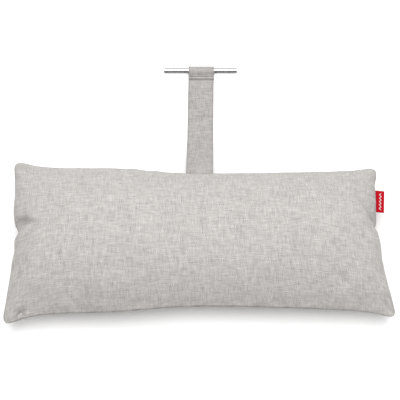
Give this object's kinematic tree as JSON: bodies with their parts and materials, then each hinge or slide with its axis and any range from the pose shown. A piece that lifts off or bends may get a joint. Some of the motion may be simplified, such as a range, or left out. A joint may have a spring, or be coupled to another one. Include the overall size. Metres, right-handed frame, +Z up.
{
  "type": "camp pillow",
  "caption": "Rectangular stuffed fabric pillow with a zipped cover, and a flat fabric strap that ends in a loop round a steel rod.",
  "frame": {"origin": "middle of the flat underside, on the surface that the pillow lies on", "axes": "+X along the pillow, +Y across it towards the strap, +Z up through the crown"},
  "size_m": [0.7103, 0.5556, 0.138],
  "materials": {
    "canvas": "warm light grey heathered plain weave, matt",
    "ticking": "plain off-white lining cloth, matt",
    "fibre": "white hollow-fibre wadding",
    "zip_tape": "grey woven zip tape",
    "zip_coil": "grey nylon coil, satin",
    "zip_metal": "grey enamelled zip metal",
    "steel": "polished stainless steel",
    "label": "red damask-woven label with a white zigzag"
  },
  "bodies": {
    "pillow": {"front_panel": "canvas", "back_panel_main": "canvas", "back_panel_strip": "canvas", "ticking_front": "ticking", "ticking_back": "ticking", "fibre_fill": "fibre", "zip_tape_upper": "zip_tape", "zip_tape_lower": "zip_tape", "zip_coil_upper": "zip_coil", "zip_coil_lower": "zip_coil", "zip_closed_stop": "zip_metal", "zip_open_stop": "zip_metal", "strap_base": "canvas"},
    "lower_strap": {"strap_lower": "canvas"},
    "upper_strap": {"strap_upper": "canvas"},
    "rod": {"toggle_rod": "steel"},
    "slider": {"zip_slider": "zip_metal"},
    "pull_tab": {"zip_pull": "zip_metal"},
    "label": {"side_label": "label"}
  },
  "joints": [
    {"name": "strap_fold", "type": "hinge", "parent": "pillow", "child": "lower_strap", "pos_m": [0.005, 0.137, 0.058], "axis": [1, 0, 0], "range_deg": [-50, 100]},
    {"name": "strap_bend", "type": "hinge", "parent": "lower_strap", "child": "upper_strap", "pos_m": [0.005, 0.24026, 0.0009], "axis": [1, 0, 0], "range_deg": [-80, 80]},
    {"name": "rod_slide", "type": "slide", "parent": "upper_strap", "child": "rod", "axis": [1, 0, 0], "range_m": [-0.045, 0.045]},
    {"name": "slider_travel", "type": "slide", "parent": "pillow", "child": "slider", "axis": [-1, 0, 0], "range_m": [0, 0.48]},
    {"name": "pull_flip", "type": "hinge", "parent": "slider", "child": "pull_tab", "pos_m": [0.2442, -0.11807, 0.03661], "axis": [0, -0.6364, 0.7714], "range_deg": [0, 180]},
    {"name": "label_flex", "type": "hinge", "parent": "pillow", "child": "label", "pos_m": [0.34103, 0.057, 0.05137], "axis": [0.0942, 0.9921, -0.0828], "range_deg": [-50, 50], "stiffness_Nm_per_rad": 0.002}
  ]
}
